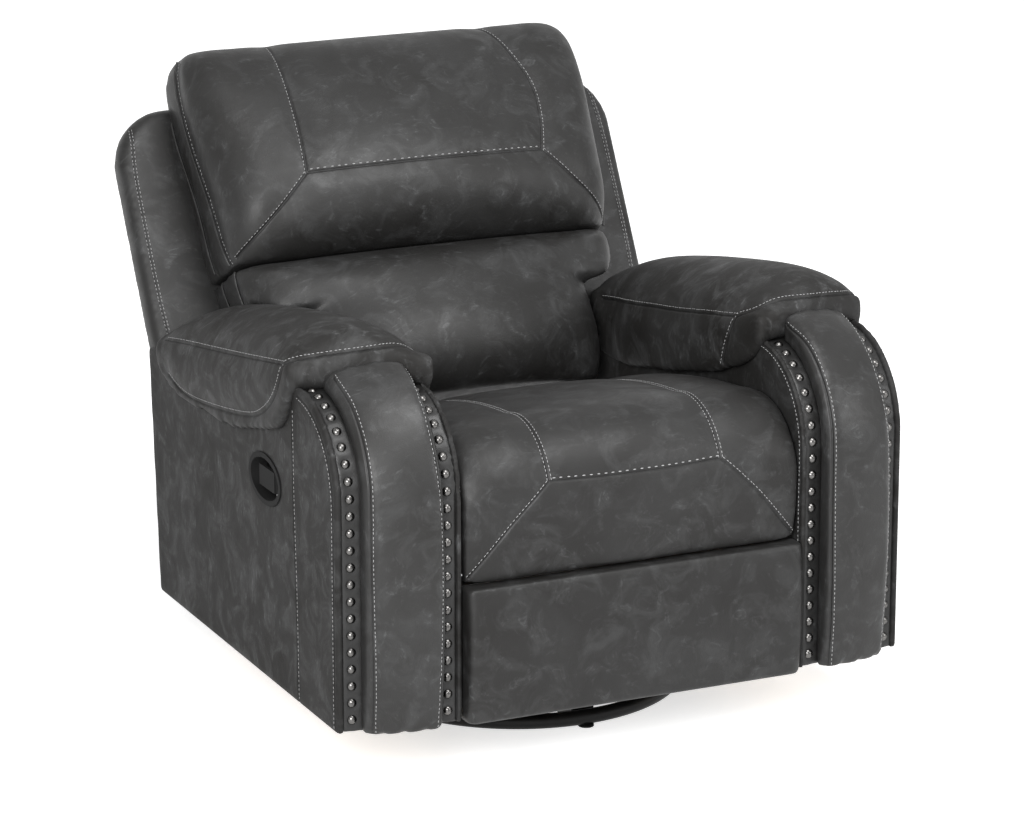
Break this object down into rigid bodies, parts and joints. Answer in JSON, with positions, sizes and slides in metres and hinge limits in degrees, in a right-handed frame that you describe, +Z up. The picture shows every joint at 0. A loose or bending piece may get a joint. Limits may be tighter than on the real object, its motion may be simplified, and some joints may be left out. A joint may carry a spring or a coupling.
{
  "type": "swivel glider recliner",
  "caption": "Upholstered recliner with a padded headrest, pillow arms, nail-trimmed arm fronts, folding legrest, pull lever and a swivel gliding ring base.",
  "frame": {"origin": "floor level under the middle of the chair's plan, at rest", "axes": "+Z up, the sitter faces -Y, +X is the sitter's left"},
  "size_m": [1.014, 1.1673, 0.9928],
  "materials": {
    "upholstery": "matt distressed faux leather",
    "frame_wood": "raw plywood",
    "nail_metal": "dark nickel",
    "black_plastic": "fine grain",
    "black_steel": "satin black paint",
    "linkage_steel": "black oxide",
    "bright_steel": "zinc plated"
  },
  "bodies": {
    "base": {"base_ring": "black_steel", "base_feet": "black_plastic", "base_long_bar": "black_steel", "base_short_bars": "black_steel", "bearing_lower_plate": "linkage_steel", "bearing_balls": "bright_steel", "swivel_bolt": "bright_steel"},
    "turntable": {"bearing_upper_plate": "linkage_steel", "turntable_bars": "linkage_steel", "glide_hangers": "linkage_steel"},
    "front_glide_links": {"front_glide_links": "linkage_steel"},
    "rear_glide_links": {"rear_glide_links": "linkage_steel"},
    "chassis": {"glide_rails": "linkage_steel", "cross_bars": "linkage_steel", "arm_outer_board_left": "frame_wood", "arm_inner_board_left": "frame_wood", "arm_side_cover_left": "upholstery", "arm_inner_cover_left": "upholstery", "arm_wrap_board_left": "frame_wood", "arm_base_board_left": "frame_wood", "nail_strips_left": "upholstery", "nailheads_left": "nail_metal", "arm_front_panel_left": "upholstery", "arm_pad_left": "upholstery", "arm_outer_board_right": "frame_wood", "arm_inner_board_right": "frame_wood", "arm_side_cover_right": "upholstery", "arm_inner_cover_right": "upholstery", "arm_wrap_board_right": "frame_wood", "arm_base_board_right": "frame_wood", "nail_strips_right": "upholstery", "nailheads_right": "nail_metal", "arm_front_panel_right": "upholstery", "arm_pad_right": "upholstery", "arm_rear_covers": "upholstery", "lower_rear_panel": "upholstery", "handle_cup": "black_plastic", "lever_pivot_pin": "bright_steel", "seat_tracks": "linkage_steel"},
    "lever": {"release_lever": "black_plastic"},
    "seat": {"seat_rails": "linkage_steel", "seat_front_board": "frame_wood", "seat_rear_board": "frame_wood", "seat_springs": "bright_steel", "seat_cushion": "upholstery"},
    "back": {"back_post_left": "frame_wood", "back_post_right": "frame_wood", "back_rails": "frame_wood", "outside_back_panel": "upholstery", "wing_left": "upholstery", "wing_right": "upholstery", "back_brackets": "linkage_steel", "lumbar_cushion": "upholstery", "head_cushion": "upholstery"},
    "legrest_lower": {"legrest_lower_links": "linkage_steel", "legrest_torque_tube": "linkage_steel"},
    "legrest_upper": {"legrest_upper_links": "linkage_steel"},
    "footrest": {"footrest_board": "frame_wood", "footrest_brackets": "linkage_steel", "footrest_pad": "upholstery"}
  },
  "joints": [
    {"name": "swivel", "type": "hinge", "parent": "base", "child": "turntable", "pos_m": [0, -0.11014, 0.04], "axis": [0, 0, 1], "continuous": true},
    {"name": "glide", "type": "hinge", "parent": "turntable", "child": "rear_glide_links", "pos_m": [0, 0.01986, 0.175], "axis": [1, 0, 0], "range_deg": [-22, 22]},
    {"name": "glide_front", "type": "hinge", "parent": "turntable", "child": "front_glide_links", "pos_m": [0, -0.24014, 0.175], "axis": [1, 0, 0], "range_deg": [-23, 23]},
    {"name": "glide_carry", "type": "hinge", "parent": "rear_glide_links", "child": "chassis", "pos_m": [0, 0.01986, 0.08], "axis": [1, 0, 0], "range_deg": [-23, 23]},
    {"name": "lever_pull", "type": "hinge", "parent": "chassis", "child": "lever", "pos_m": [-0.488, -0.26614, 0.444], "axis": [0, 0, 1], "range_deg": [0, 30], "stiffness_Nm_per_rad": 0.4},
    {"name": "seat_slide", "type": "slide", "parent": "chassis", "child": "seat", "axis": [0, -1, 0], "range_m": [0, 0.051]},
    {"name": "recline", "type": "hinge", "parent": "seat", "child": "back", "pos_m": [0, 0.16986, 0.35], "axis": [-1, 0, 0], "range_deg": [0, 35]},
    {"name": "legrest", "type": "hinge", "parent": "seat", "child": "legrest_lower", "pos_m": [0, -0.42014, 0.29], "axis": [-1, 0, 0], "range_deg": [0, 114.8]},
    {"name": "legrest_knee", "type": "hinge", "parent": "legrest_lower", "child": "legrest_upper", "pos_m": [0, -0.31724, 0.10122], "axis": [-1, 0, 0], "range_deg": [-106, 0]},
    {"name": "footrest_turn", "type": "hinge", "parent": "legrest_upper", "child": "footrest", "pos_m": [0, -0.50514, 0.195], "axis": [-1, 0, 0], "range_deg": [0, 79]}
  ],
  "couplings": [
    {"joint": "glide_front", "follows": "glide", "ratio": 1},
    {"joint": "glide_carry", "follows": "glide", "ratio": -1},
    {"joint": "seat_slide", "follows": "recline", "m_per_rad": 0.08185},
    {"joint": "legrest_knee", "follows": "legrest", "ratio": -0.91544},
    {"joint": "footrest_turn", "follows": "legrest", "ratio": 0.68181}
  ]
}
